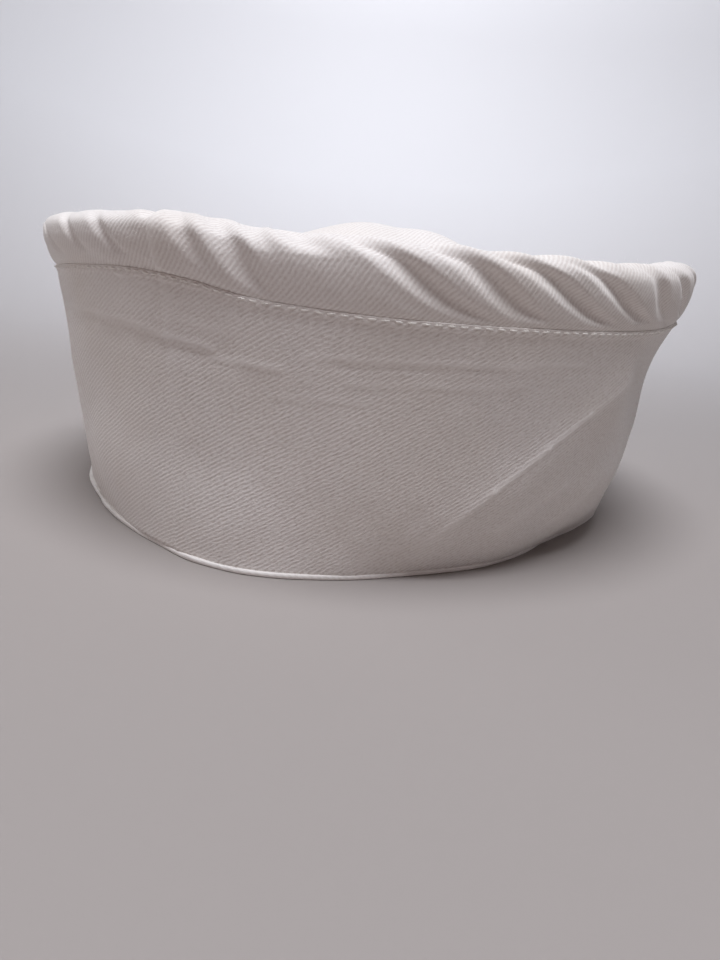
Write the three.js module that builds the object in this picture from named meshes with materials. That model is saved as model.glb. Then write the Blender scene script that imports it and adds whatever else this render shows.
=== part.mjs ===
// Sailor cap of white cotton twill: a flared side wall on a thin edging, a gathered rim strip sewn
// round its top, and a soft round top. Millimetres, +Z up, the cap's front towards -Y.
// It rests on the flat underside of its edging at z = 0.
import * as THREE from 'three';

// Sizes of the cap
const hemRadius = 93; // outside of the wall at its lower edge
const wallFlare = 9; // how far the wall leans out on its way up to the rim seam
const wallCurve = 0.4; // share of that flare which comes late, near the seam
const seamHeight = 69; // rim seam above the surface that the cap rests on
const rimHeight = 19.3; // from the rim seam up to the top of the rim
const rimBulge = 3.4; // how far the rim stands out past its seam
const rimDepth = 11; // from the rim seam in to the seam of the round top
const topDrop = 2.4; // seam of the round top below the top of the rim
const topDome = 2; // rise of the round top from its seam to its middle
const topPuff = 5; // height of the air-filled puffs of the round top
const wallCloth = 2; // two layers of twill with an interlining
const rimCloth = 1.6;
const topCloth = 1.6;
const edgingHeight = 1.5; // thin rolled edging under the wall
const edgingLip = 1; // how far the edging stands out past the wall
const edgingRound = 0.4; // rounding of the lip above and below
const seamGap = 0.3; // clearance between two pieces at a seam

// Depth of the cloth's own waves, dents and gathers
const seamWave = 4.2; // rise of the rim seam
const rimSag = 3.2; // sag of the top of the rim
const wallLean = 3; // lean of the whole wall, out or in, at the lower edge
const hemTuck = 9.5; // tuck of the lower edge towards the head
const tuckHeight = 27; // height that this tuck fades over
const foldDepth = 1.2; // soft creases of the wall
const gatherDepth = 2.1; // furrows of the gathered rim
const topRuckDepth = 1.2; // rucks that run from the rim's gathers into the round top
const topRuckReach = 0.2; // half of a ruck's length as a share of the round top's radius

// Faces round the cap and across each cloth
const columns = 108;
const topColumns = columns / 2;
const wallRows = 10;
const wallInnerRows = 4;
const rimRows = 10;
const rimInnerRows = 7;
const topRings = 8;
const topInnerRings = 5;

const seamRadius = hemRadius + wallFlare;
const topRadius = seamRadius - rimDepth;
const rimTopHeight = seamHeight + rimHeight;

// Waves round the cap. azimuth: degrees from the front, + to the cap's +X side; seam: share of
// seamWave; sag: share of rimSag; lean: share of wallLean; tuck: share of hemTuck; lip: share of
// edgingLip; bulge: share of rimBulge.
const roundTable = [
  { azimuth: -165, seam: 0.1, sag: 0.35, lean: 0.1, tuck: 0, lip: 0.8, bulge: 1 },
  { azimuth: -130, seam: 0.15, sag: 0.2, lean: 0, tuck: 0, lip: 0.8, bulge: 1 },
  { azimuth: -92, seam: 0.3, sag: 0.2, lean: 0.4, tuck: 0.2, lip: 1, bulge: 1.1 },
  { azimuth: -80, seam: 0.35, sag: 0.25, lean: 0.3, tuck: 0, lip: 1, bulge: 1.1 },
  { azimuth: -66, seam: 0.4, sag: 0.25, lean: 0.1, tuck: -0.3, lip: 1, bulge: 1.15 },
  { azimuth: -52, seam: 0.7, sag: 0.15, lean: 0.1, tuck: -0.28, lip: 1, bulge: 1.05 },
  { azimuth: -36, seam: 1, sag: 0.05, lean: 0.3, tuck: -0.04, lip: 0.8, bulge: 1 },
  { azimuth: -25, seam: 0.72, sag: 0.1, lean: 0.6, tuck: 0.08, lip: 0.8, bulge: 1 },
  { azimuth: -15, seam: 0.12, sag: 0.55, lean: 0.6, tuck: 0.08, lip: 1, bulge: 1 },
  { azimuth: 0, seam: -0.1, sag: 0.85, lean: 0, tuck: -0.25, lip: 1, bulge: 1 },
  { azimuth: 12, seam: -0.08, sag: 0.95, lean: -0.45, tuck: -0.62, lip: 0.7, bulge: 1 },
  { azimuth: 25, seam: 0, sag: 0.95, lean: -0.7, tuck: -0.78, lip: 0.2, bulge: 0.9 },
  { azimuth: 38, seam: 0, sag: 1, lean: -0.8, tuck: -1.02, lip: 0, bulge: 0.9 },
  { azimuth: 52, seam: 0.12, sag: 0.6, lean: -0.8, tuck: -1.25, lip: 0, bulge: 0.85 },
  { azimuth: 66, seam: 0.45, sag: 0.15, lean: -0.85, tuck: -0.82, lip: 0.1, bulge: 0.85 },
  { azimuth: 82, seam: 0.3, sag: 0.1, lean: -0.6, tuck: -0.18, lip: 0.4, bulge: 0.9 },
  { azimuth: 112, seam: 0.1, sag: 0.2, lean: 0, tuck: 0, lip: 0.8, bulge: 1 },
  { azimuth: 150, seam: 0, sag: 0.4, lean: 0.1, tuck: 0, lip: 0.8, bulge: 1 },
];

// Outer face of the rim strip from the rim seam over its top. out: share of rimBulge past the seam;
// inward: share of rimDepth towards the round top; up: share of the rim's height.
const rimSection = [
  { out: 0, inward: 0, up: 0 },
  { out: 0.46, inward: 0, up: 0.13 },
  { out: 0.86, inward: 0, up: 0.33 },
  { out: 1, inward: 0, up: 0.58 },
  { out: 0.72, inward: 0, up: 0.82 },
  { out: 0, inward: 0.08, up: 0.96 },
  { out: 0, inward: 0.42, up: 1 },
  { out: 0, inward: 0.72, up: 0.96 },
];

// Furrows of the gathered rim. azimuth: degrees at gatherLevel; slant: degrees that the furrow runs
// back over the whole width of the strip; spread: half of its width in degrees; depth:
// share of gatherDepth; from, to: shares of the strip's width, seam 0 and round top 1.
const gatherLevel = 1 / 3;
const gathers = [
  { azimuth: -168, slant: 22, spread: 4.2, depth: 0.8, from: 0.04, to: 0.9 },
  { azimuth: -154, slant: 28, spread: 4.6, depth: 1, from: 0.06, to: 0.85 },
  { azimuth: -143, slant: 18, spread: 3.6, depth: 0.6, from: 0.1, to: 0.8 },
  { azimuth: -130, slant: 26, spread: 4.4, depth: 0.9, from: 0.04, to: 0.9 },
  { azimuth: -117, slant: 20, spread: 3.8, depth: 0.7, from: 0.06, to: 0.8 },
  { azimuth: -105, slant: 30, spread: 4.8, depth: 1, from: 0.05, to: 0.9 },
  { azimuth: -92, slant: 22, spread: 3.8, depth: 0.7, from: 0.1, to: 0.8 },
  { azimuth: -80, slant: 26, spread: 4.4, depth: 0.85, from: 0.06, to: 0.85 },
  { azimuth: -69, slant: 20, spread: 3.6, depth: 0.7, from: 0.12, to: 0.8 },
  { azimuth: -57.5, slant: 30, spread: 3.8, depth: 0.8, from: 0.12, to: 0.75 },
  { azimuth: -46, slant: 18, spread: 3.6, depth: 0.75, from: 0.16, to: 0.72 },
  { azimuth: -37, slant: 16, spread: 3.6, depth: 0.8, from: 0.16, to: 0.7 },
  { azimuth: -30.8, slant: 10, spread: 3, depth: 0.6, from: 0.2, to: 0.75 },
  { azimuth: -21.8, slant: 12, spread: 3.6, depth: 0.6, from: 0.15, to: 0.8 },
  { azimuth: -15.6, slant: 12, spread: 4, depth: 1, from: 0.04, to: 0.85 },
  { azimuth: -11.6, slant: 10, spread: 3, depth: 0.55, from: 0.4, to: 0.95 },
  { azimuth: -5, slant: 12, spread: 4, depth: 0.9, from: 0.42, to: 0.95 },
  { azimuth: 7.6, slant: 29, spread: 4.2, depth: 0.95, from: 0.03, to: 0.85 },
  { azimuth: 17.4, slant: 26, spread: 4.2, depth: 0.95, from: 0.06, to: 0.75 },
  { azimuth: 27.8, slant: 34, spread: 4.4, depth: 1, from: 0.06, to: 0.75 },
  { azimuth: 38, slant: 34, spread: 4, depth: 0.8, from: 0.1, to: 0.72 },
  { azimuth: 48.4, slant: 15, spread: 3.4, depth: 0.6, from: 0.12, to: 0.8 },
  { azimuth: 58.8, slant: 18, spread: 3.8, depth: 0.9, from: 0.1, to: 0.85 },
  { azimuth: 70, slant: 22, spread: 4.2, depth: 0.8, from: 0.06, to: 0.85 },
  { azimuth: 82, slant: 28, spread: 4.4, depth: 0.9, from: 0.08, to: 0.9 },
  { azimuth: 94, slant: 20, spread: 3.6, depth: 0.6, from: 0.12, to: 0.8 },
  { azimuth: 106, slant: 28, spread: 4.6, depth: 1, from: 0.05, to: 0.9 },
  { azimuth: 120, slant: 22, spread: 4, depth: 0.7, from: 0.1, to: 0.8 },
  { azimuth: 133, slant: 26, spread: 4.4, depth: 0.95, from: 0.05, to: 0.85 },
  { azimuth: 146, slant: 18, spread: 3.6, depth: 0.65, from: 0.12, to: 0.8 },
  { azimuth: 159, slant: 26, spread: 4.4, depth: 0.9, from: 0.06, to: 0.9 },
  { azimuth: 174, slant: 24, spread: 4.2, depth: 0.75, from: 0.1, to: 0.85 },
];

// Soft creases of the wall, each along a straight line on the unrolled wall. Ends in degrees and as
// a share of seamHeight; reach: half of the crease's width as a share of seamHeight; lift: share of
// foldDepth, below zero where the cloth sinks in.
const wallFolds = [
  { from: [10, 0.2], to: [58, 0.84], reach: 0.13, lift: 0.8 },
  { from: [38, 0.24], to: [62, 0.55], reach: 0.3, lift: -1 },
  { from: [58, 0.86], to: [104, 0.8], reach: 0.34, lift: -2.2 },
  { from: [-86, 0.7], to: [-58, 0.72], reach: 0.36, lift: 0.3 },
  { from: [-54, 0.86], to: [-20, 0.82], reach: 0.08, lift: -0.3 },
  { from: [-50, 0.3], to: [-20, 0.2], reach: 0.25, lift: 0.7 },
  { from: [-100, 0.25], to: [-118, 0.7], reach: 0.2, lift: -0.7 },
  { from: [150, 0.2], to: [126, 0.8], reach: 0.2, lift: -0.8 },
  { from: [-160, 0.75], to: [-135, 0.3], reach: 0.18, lift: 0.6 },
];

// Puffs of the round top. x, y: place as shares of topRadius; reach: share of topRadius; lift:
// share of topPuff.
const topPuffs = [
  { x: 0, y: -0.44, reach: 0.3, lift: 1.25 },
  { x: 0.22, y: -0.46, reach: 0.17, lift: 0.65 },
  { x: -0.4, y: 0.05, reach: 0.5, lift: 0.3 },
  { x: 0.1, y: 0.36, reach: 0.5, lift: 0.4 },
];

const radians = THREE.MathUtils.degToRad;

// Point at an azimuth from the front, at a radius and a height
function polarPoint(azimuth, radius, height) {
  const angle = radians(azimuth);
  return new THREE.Vector3(radius * Math.sin(angle), -radius * Math.cos(angle), height);
}

// Difference of two azimuths, from -180 to 180 degrees
function azimuthStep(from, to) {
  return THREE.MathUtils.euclideanModulo(to - from + 180, 360) - 180;
}

// Smooth bump: 1 where the distance is 0, falling to 0 where it reaches 1
function bump(distance) {
  const inside = Math.max(0, 1 - distance * distance);
  return inside * inside;
}

// Smooth closed curve through one column of roundTable, read at an azimuth in degrees.
// Cubic pieces, each with its slope from the rows on either side.
function roundCurve(column) {
  const count = roundTable.length;
  const turnOf = (i) => 360 * Math.floor(i / count);
  const rowOf = (i) => roundTable[THREE.MathUtils.euclideanModulo(i, count)];
  const azimuthOf = (i) => rowOf(i).azimuth + turnOf(i);
  const valueOf = (i) => rowOf(i)[column];
  const slopeOf = (i) => (valueOf(i + 1) - valueOf(i - 1)) / (azimuthOf(i + 1) - azimuthOf(i - 1));
  return (azimuth) => {
    const start = roundTable[0].azimuth;
    const turned = start + THREE.MathUtils.euclideanModulo(azimuth - start, 360);
    let i = 0;
    while (azimuthOf(i + 1) <= turned) i += 1;
    const span = azimuthOf(i + 1) - azimuthOf(i);
    const t = (turned - azimuthOf(i)) / span;
    const rise = t * t * (3 - 2 * t);
    const leave = t * (1 - t) * (1 - t);
    const arrive = t * t * (t - 1);
    return valueOf(i) * (1 - rise) + valueOf(i + 1) * rise
      + span * (slopeOf(i) * leave + slopeOf(i + 1) * arrive);
  };
}

const seamShare = roundCurve('seam');
const sagShare = roundCurve('sag');
const leanShare = roundCurve('lean');
const tuckShare = roundCurve('tuck');
const lipShare = roundCurve('lip');
const bulgeShare = roundCurve('bulge');

const seamLevel = (azimuth) => seamHeight + seamWave * seamShare(azimuth);
const rimTopLevel = (azimuth) => rimTopHeight - rimSag * sagShare(azimuth);
const topSeamLevel = (azimuth) => rimTopLevel(azimuth) - topDrop;

// Height of the wall's soft creases at an azimuth and a height, on the wall laid flat from each
// crease's first end
function wallFold(azimuth, height) {
  const nearest = new THREE.Vector3();
  let lift = 0;
  for (const { from, to, reach, lift: foldLift } of wallFolds) {
    const laidFlat = (toAzimuth, toHeight) => new THREE.Vector3(
      radians(azimuthStep(from[0], toAzimuth)) * seamRadius, toHeight, 0);
    const crease = new THREE.Line3(
      laidFlat(from[0], from[1] * seamHeight), laidFlat(to[0], to[1] * seamHeight));
    const here = laidFlat(azimuth, height);
    crease.closestPointToPoint(here, true, nearest);
    lift += foldDepth * foldLift * bump(nearest.distanceTo(here) / (reach * seamHeight));
  }
  return lift;
}

// Outer radius of the wall: its flare, its lean, the tuck of its lower edge and its creases, which
// die away at the wall's two edges
function wallRadius(azimuth, height) {
  const share = height / seamLevel(azimuth);
  const flare = wallFlare * share * (1 - wallCurve + wallCurve * share);
  const lean = wallLean * leanShare(azimuth) * (1 - share);
  const tuckFade = Math.max(0, 1 - height / tuckHeight);
  const tuck = hemTuck * tuckShare(azimuth) * tuckFade * tuckFade;
  const insideEdges = 1 - (2 * share - 1) ** 4;
  return hemRadius + flare + lean + tuck + wallFold(azimuth, height) * insideEdges;
}

// Depth of the gathers at an azimuth and a share of the strip's width
function gatherAt(azimuth, share) {
  let depth = 0;
  for (const gather of gathers) {
    const line = gather.azimuth - gather.slant * (share - gatherLevel);
    const across = azimuthStep(line, azimuth) / gather.spread;
    const middle = (gather.from + gather.to) / 2;
    const along = (share - middle) / (gather.to - middle);
    depth += gatherDepth * gather.depth * bump(across) * bump(along);
  }
  return depth;
}

// Depth of the round top's rucks near its seam, where the furrows of the rim run on, twice as wide
function topRuck(azimuth, share) {
  const along = (share - (1 - topRuckReach)) / topRuckReach;
  let depth = 0;
  for (const gather of gathers) {
    const line = gather.azimuth - gather.slant * (1 - gatherLevel);
    const across = azimuthStep(line, azimuth) / (2 * gather.spread);
    depth += topRuckDepth * gather.depth * bump(across) * bump(along);
  }
  return depth;
}

// Height of the round top's outer face at an azimuth and a share of its radius. Towards the middle
// the seam's own waves die away.
function topLevel(azimuth, share) {
  const place = polarPoint(azimuth, share, 0);
  const even = rimTopHeight - topDrop - rimSag / 2;
  let puff = 0;
  for (const { x, y, reach, lift } of topPuffs) {
    puff += lift * bump(Math.hypot(place.x - x, place.y - y) / reach);
  }
  const seam = even + (topSeamLevel(azimuth) - even) * share * share;
  return seam + topDome * (1 - share * share) + topPuff * puff * (1 - share ** 4)
    - topRuck(azimuth, share);
}

// Closed body from one section for each azimuth. A section is a list of [radius, height] points:
// a closed loop, or, with onAxis, a line whose first and last points lie on the axis.
function bodyOfSections(sectionAt, count, onAxis) {
  const positions = [];
  const triangles = [];
  const sections = [];
  for (let j = 0; j < count; j += 1) {
    const azimuth = (360 * j) / count - 180;
    sections.push(sectionAt(azimuth).map(([radius, height]) => polarPoint(azimuth, radius, height)));
  }
  const length = sections[0].length;
  const isPole = (i) => onAxis && (i === 0 || i === length - 1);
  const indexOf = sections.map((section, j) => section.map((point, i) => {
    if (isPole(i) && j > 0) return null;
    positions.push(...point.toArray());
    return positions.length / 3 - 1;
  }));
  const vertex = (i, j) => indexOf[isPole(i) ? 0 : j % count][i % length];
  const steps = onAxis ? length - 1 : length;
  for (let j = 0; j < count; j += 1) {
    for (let i = 0; i < steps; i += 1) {
      const [a, b, c, d] = [vertex(i, j), vertex(i, j + 1), vertex(i + 1, j + 1), vertex(i + 1, j)];
      if (a !== b) triangles.push(a, b, c);
      if (c !== d) triangles.push(a, c, d);
    }
  }
  const geometry = new THREE.BufferGeometry();
  geometry.setAttribute('position', new THREE.Float32BufferAttribute(positions, 3));
  geometry.setIndex(triangles);
  geometry.computeVertexNormals();
  return geometry;
}

// Even shares from 0 to 1
function shares(rows) {
  return Array.from({ length: rows + 1 }, (_, i) => i / rows);
}

// Thin edging under the wall: flat below, with a rounded lip that stands out past the wall
function edgingSection(azimuth) {
  const wall = wallRadius(azimuth, edgingHeight);
  const lip = wall + edgingLip * lipShare(azimuth);
  const back = wall - wallCloth;
  return [
    [back, 0],
    [lip - edgingRound, 0],
    [lip, edgingRound],
    [lip, edgingHeight - edgingRound],
    [lip - edgingRound, edgingHeight],
    [back, edgingHeight],
  ];
}

// Side wall from the edging up to the rim seam
function wallSection(azimuth) {
  const low = edgingHeight + seamGap;
  const high = seamLevel(azimuth) - seamGap / 2;
  const levels = (rows) => shares(rows).map((share) => low + (high - low) * share);
  const outer = levels(wallRows).map((height) => [wallRadius(azimuth, height), height]);
  const inner = levels(wallInnerRows).map((height) => [wallRadius(azimuth, height) - wallCloth, height]);
  return [...outer, ...inner.reverse()];
}

// Rim strip from its seam on the wall, out and over the top, to the seam of the round top. The cloth
// is level at the first seam and upright at the second, so that its edges meet its neighbours flat.
function rimSectionAt(azimuth) {
  const low = seamLevel(azimuth) + seamGap / 2;
  const rise = rimTopLevel(azimuth) - low;
  const rows = [...rimSection, { out: 0, inward: 1, up: 1 - topDrop / rise }];
  const bulge = rimBulge * bulgeShare(azimuth);
  const face = new THREE.SplineCurve(rows.map(({ out, inward, up }) => new THREE.Vector2(
    seamRadius + out * bulge - inward * rimDepth, low + up * rise)));
  const normalAt = (share) => {
    if (share === 0) return new THREE.Vector2(1, 0);
    if (share === 1) return new THREE.Vector2(0, 1);
    const along = face.getTangent(share);
    return new THREE.Vector2(along.y, -along.x);
  };
  const pointAt = (share, cloth) => face.getPoint(share)
    .addScaledVector(normalAt(share), -gatherAt(azimuth, share) - cloth).toArray();
  const outer = shares(rimRows).map((share) => pointAt(share, 0));
  const inner = shares(rimInnerRows).map((share) => pointAt(share, rimCloth));
  return [...outer, ...inner.reverse()];
}

// Round top: a soft disc that ends just inside the rim strip
function topSection(azimuth) {
  const edge = topRadius - seamGap;
  const under = shares(topInnerRings).map((share) => [edge * share, topLevel(azimuth, share) - topCloth]);
  const over = shares(topRings).map((share) => [edge * share, topLevel(azimuth, share)]);
  return [...under, ...over.reverse()];
}

const whiteTwill = { color: 0xf2efec, roughness: 0.88, metalness: 0 };
const whiteEdging = { color: 0xf7f5f3, roughness: 0.8, metalness: 0 };

// One named piece of the cap
function piece(name, geometry, look) {
  const mesh = new THREE.Mesh(geometry, new THREE.MeshStandardMaterial(look));
  mesh.name = name;
  return mesh;
}

const cap = new THREE.Group();
cap.add(
  piece('hem_edging', bodyOfSections(edgingSection, columns, false), whiteEdging),
  piece('side_wall', bodyOfSections(wallSection, columns, false), whiteTwill),
  piece('rim_strip', bodyOfSections(rimSectionAt, columns, false), whiteTwill),
  piece('round_top', bodyOfSections(topSection, topColumns, true), whiteTwill),
);

// The axis stands over the middle of the cap's box
const capBox = new THREE.Box3().setFromObject(cap);
const middle = capBox.getCenter(new THREE.Vector3());
cap.position.set(-middle.x, -middle.y, 0);

export default cap;
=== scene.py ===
import math

import bpy
import numpy as np
from mathutils import Matrix, Vector


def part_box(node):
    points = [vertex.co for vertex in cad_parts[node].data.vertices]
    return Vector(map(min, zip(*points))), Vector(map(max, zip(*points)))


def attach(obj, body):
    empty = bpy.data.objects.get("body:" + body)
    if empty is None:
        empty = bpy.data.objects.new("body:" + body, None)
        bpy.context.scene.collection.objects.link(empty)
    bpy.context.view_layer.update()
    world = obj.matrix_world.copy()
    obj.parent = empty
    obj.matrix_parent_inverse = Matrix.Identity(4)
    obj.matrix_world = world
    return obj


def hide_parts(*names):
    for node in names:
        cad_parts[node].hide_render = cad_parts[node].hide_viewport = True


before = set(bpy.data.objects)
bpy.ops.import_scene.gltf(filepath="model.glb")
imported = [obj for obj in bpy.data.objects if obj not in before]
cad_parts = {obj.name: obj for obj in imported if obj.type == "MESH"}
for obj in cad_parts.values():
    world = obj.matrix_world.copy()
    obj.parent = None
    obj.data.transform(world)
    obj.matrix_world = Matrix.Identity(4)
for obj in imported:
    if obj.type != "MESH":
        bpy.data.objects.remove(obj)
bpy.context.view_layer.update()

# Sailor cap of white cotton twill on a pale floor. Shapes are worked out in millimetres round the
# cap's own axis and put into metres where a mesh is made. Azimuths are in degrees from the front (-Y),
# positive towards +X.

mm = 0.001
topLow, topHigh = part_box("round_top")
axisPlace = np.array([(topLow.x + topHigh.x) / 2, (topLow.y + topHigh.y) / 2, 0.0])

capShape = {
    "hemRadius": 93,
    "wallFlare": 9,
    "wallCurve": 0.4,  # share of the flare that comes late
    "seamHeight": 69,
    "rimHeight": 19.3,
    "rimBulge": 3.4,
    "rimDepth": 11,
    "topDrop": 2.4,
    "topDome": 2,
    "topPuff": 5,
    "wallCloth": 2,
    "rimCloth": 1.6,
    "topCloth": 1.6,
    "seamWave": 4.2,
    "rimSag": 3.2,
    "wallLean": 3,
    "hemTuck": 9.5,
    "tuckHeight": 27,
    "foldDepth": 1.2,
    "joinAzimuth": -29.2,  # upright join of the wall and the rim strip
}
seamRadius = capShape["hemRadius"] + capShape["wallFlare"]
topRadius = seamRadius - capShape["rimDepth"]
rimTopHeight = capShape["seamHeight"] + capShape["rimHeight"]

# Waves round the cap, as shares of seamWave, rimSag, wallLean, hemTuck, the edging's lip and rimBulge
roundColumns = ("azimuth", "seam", "sag", "lean", "tuck", "lip", "bulge")
roundTable = np.array([
    (-165, 0.1, 0.35, 0.1, 0, 0.8, 1),
    (-130, 0.2, 0.25, 0, 0, 0.8, 1),
    (-92, 0.6, 0.5, 0.4, 0.2, 1, 0.9),
    (-80, 0.72, 0.65, 0.3, 0, 1.2, 0.85),
    (-66, 0.8, 0.6, 0.1, -0.3, 1.1, 0.9),
    (-52, 1.1, 0.4, 0.1, -0.28, 0.9, 1),
    (-36, 1.38, 0.15, 0.3, -0.04, -0.2, 1),
    (-25, 1.12, 0.15, 0.6, 0.08, 0.9, 1),
    (-15, 0.45, 0.55, 0.6, 0.08, 0.9, 0.85),
    (0, 0.08, 0.85, 0, -0.25, 0.3, 0.65),
    (12, 0, 0.95, -0.45, -0.62, 0.2, 0.55),
    (25, 0, 0.95, -0.7, -0.78, 0.1, 0.55),
    (38, 0, 1, -0.8, -1.02, -0.2, 0.6),
    (52, 0.12, 0.6, -0.8, -1.25, -0.6, 0.75),
    (66, 0.45, 0.15, -0.85, -0.82, -0.6, 0.85),
    (82, 0.3, 0.1, -0.6, -0.18, 0.1, 0.9),
    (112, 0.1, 0.2, 0, 0, 0.8, 1),
    (150, 0, 0.4, 0.1, 0, 0.8, 1),
])

# Outer face of the rim strip: shares of rimBulge, rimDepth and the rim's height
rimSection = np.array([
    (0, 0, 0), (0.36, 0, 0.14), (0.72, 0, 0.35), (0.97, 0, 0.6), (0.86, 0, 0.83),
    (0.1, 0.06, 0.97), (0, 0.42, 1), (0, 0.72, 0.96),
])

# Furrows of the gathered rim: azimuth, slant and half width in degrees, depth as a share of
# furrowDepth, and where each starts and ends as shares of the strip's width
gatherLevel = 1 / 3  # share of the width at which a furrow's azimuth is given
gathers = [
    (-168, 22, 4.2, 0.8, 0.04, 0.82), (-154, 28, 4.6, 1, 0.06, 0.8), (-143, 18, 3.6, 0.6, 0.1, 0.75),
    (-130, 26, 4.4, 0.9, 0.04, 0.82), (-117, 20, 3.8, 0.7, 0.06, 0.75), (-105, 30, 4.8, 1, 0.05, 0.82),
    (-92, 22, 3.2, 0.5, 0.1, 0.66), (-80, 26, 2.7, 0.42, 0.06, 0.62), (-69, 20, 2.3, 0.4, 0.12, 0.62),
    (-57.5, 30, 2.4, 0.46, 0.12, 0.64), (-46, 18, 2.3, 0.48, 0.16, 0.64), (-37, 16, 2.2, 0.42, 0.16, 0.64),
    (-29.6, 0, 1.7, 0.5, 0.5, 0.84), (-21.8, 12, 2.7, 0.5, 0.15, 0.76), (-15.6, 12, 3.6, 0.8, 0.04, 0.8),
    (-11.6, 10, 3, 0.5, 0.4, 0.86), (-5, 12, 4, 0.85, 0.42, 0.84), (7.6, 29, 4.2, 0.95, 0.03, 0.8),
    (17.4, 26, 4, 0.95, 0.06, 0.7), (27.8, 34, 4.1, 1, 0.06, 0.68), (38, 34, 3.8, 0.85, 0.1, 0.66),
    (48.4, 15, 3.2, 0.6, 0.12, 0.72), (58.8, 18, 3.6, 0.9, 0.1, 0.76), (70, 22, 4, 0.8, 0.06, 0.78),
    (82, 28, 4.4, 0.9, 0.08, 0.82), (94, 20, 3.6, 0.6, 0.12, 0.75), (106, 28, 4.6, 1, 0.05, 0.82),
    (120, 22, 4, 0.7, 0.1, 0.75), (133, 26, 4.4, 0.95, 0.05, 0.8), (146, 18, 3.6, 0.65, 0.12, 0.75),
    (159, 26, 4.4, 0.9, 0.06, 0.82), (174, 24, 4.2, 0.75, 0.1, 0.8),
]

# Soft creases of the wall: two ends as (azimuth, share of seamHeight), half width as a share of
# seamHeight and lift as a share of foldDepth
wallFolds = [
    ((13, 0.16), (47, 0.79), 0.14, 0.6),
    ((38, 0.24), (62, 0.55), 0.3, -1),
    ((58, 0.86), (104, 0.8), 0.34, -2.2),
    ((-86, 0.7), (-58, 0.72), 0.36, 0.3),
    ((-54, 0.86), (-20, 0.82), 0.08, -0.3),
    ((-50, 0.3), (-20, 0.2), 0.25, 0.7),
    ((-100, 0.25), (-118, 0.7), 0.2, -0.7),
    ((150, 0.2), (126, 0.8), 0.2, -0.8),
    ((-160, 0.75), (-135, 0.3), 0.18, 0.6),
]

# Puffs of the round top: x, y, reach as shares of its radius, and lift as a share of topPuff
topPuffs = [(0, -0.44, 0.3, 1.25), (0.22, -0.46, 0.17, 0.65), (-0.4, 0.05, 0.5, 0.3), (0.1, 0.36, 0.5, 0.4)]


# Smooth bump: (1 - distance squared) squared inside a distance of 1, and 0 past it
def bump(distance):
    inside = np.clip(1 - distance * distance, 0, None)
    return inside * inside


# Smooth step from 0 to 1 while value goes from start to end
def ease(value, start, end):
    share = np.clip((value - start) / (end - start), 0, 1)
    return share * share * (3 - 2 * share)


# Difference of two azimuths, from -180 to 180
def azimuthStep(start, end):
    return (end - start + 180) % 360 - 180


# Closed curve through a column of roundTable: cubic pieces whose slope at each row is that of the
# line between the rows on either side
def roundCurve(column, azimuth):
    rows = len(roundTable)
    values = np.tile(roundTable[:, roundColumns.index(column)], 3)
    places = np.concatenate([roundTable[:, 0] + turn for turn in (-360, 0, 360)])
    slopes = np.gradient(values)
    slopes[1:-1] = (values[2:] - values[:-2]) / (places[2:] - places[:-2])
    first = places[rows]
    turned = first + (azimuth - first) % 360
    i = np.searchsorted(places, turned, side="right") - 1
    span = places[i + 1] - places[i]
    t = (turned - places[i]) / span
    rise = t * t * (3 - 2 * t)
    leave = t * (1 - t) * (1 - t)
    arrive = t * t * (t - 1)
    between = values[i] * (1 - rise) + values[i + 1] * rise
    return between + span * (slopes[i] * leave + slopes[i + 1] * arrive)


# Waves of uneven cloth: how many, their lengths as shares of the one asked for, and what their sum is
# divided by to stay under about 1
clothWaves = {"count": 18, "shortest": 0.7, "longest": 1.6, "peak": 1.6}


# Gentle unevenness of cloth: a sum of seeded cosine waves whose number round the cap is whole, with
# lengths near waveLength mm, scaled to about 1 at the most
def clothNoise(azimuth, along, waveLength, seed):
    w = clothWaves
    random = np.random.default_rng(seed)
    angle = np.radians(azimuth)
    total = 0
    for _ in range(w["count"]):
        heading = random.uniform(0, math.pi)
        length = waveLength * random.uniform(w["shortest"], w["longest"])
        turns = round(2 * math.pi * seamRadius * math.cos(heading) / length)
        climb = 2 * math.pi * math.sin(heading) / length
        total = total + np.cos(turns * angle + climb * along + random.uniform(0, 2 * math.pi))
    return total / math.sqrt(w["count"]) / w["peak"]


# Distance in mm from each point to a straight crease between two ends, on the wall laid flat from the
# crease's first end
def creaseDistance(azimuth, height, start, end):
    x = np.radians(azimuthStep(start[0], azimuth)) * seamRadius
    y = height - start[1] * capShape["seamHeight"]
    alongX = math.radians(azimuthStep(start[0], end[0])) * seamRadius
    alongY = (end[1] - start[1]) * capShape["seamHeight"]
    share = np.clip((x * alongX + y * alongY) / (alongX ** 2 + alongY ** 2), 0, 1)
    return np.hypot(x - share * alongX, y - share * alongY)


# Distance in mm past the upright join, measured along the seam and above 0 to the join's right
def joinDistance(azimuth):
    return np.radians(azimuthStep(capShape["joinAzimuth"], azimuth)) * seamRadius


# Height of the rim seam: its even height plus its wave round the cap
def seamLevel(azimuth):
    return capShape["seamHeight"] + capShape["seamWave"] * roundCurve("seam", azimuth)


# Height of the rim's top: its full height less its sag round the cap
def rimTopLevel(azimuth):
    return rimTopHeight - capShape["rimSag"] * roundCurve("sag", azimuth)


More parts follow.
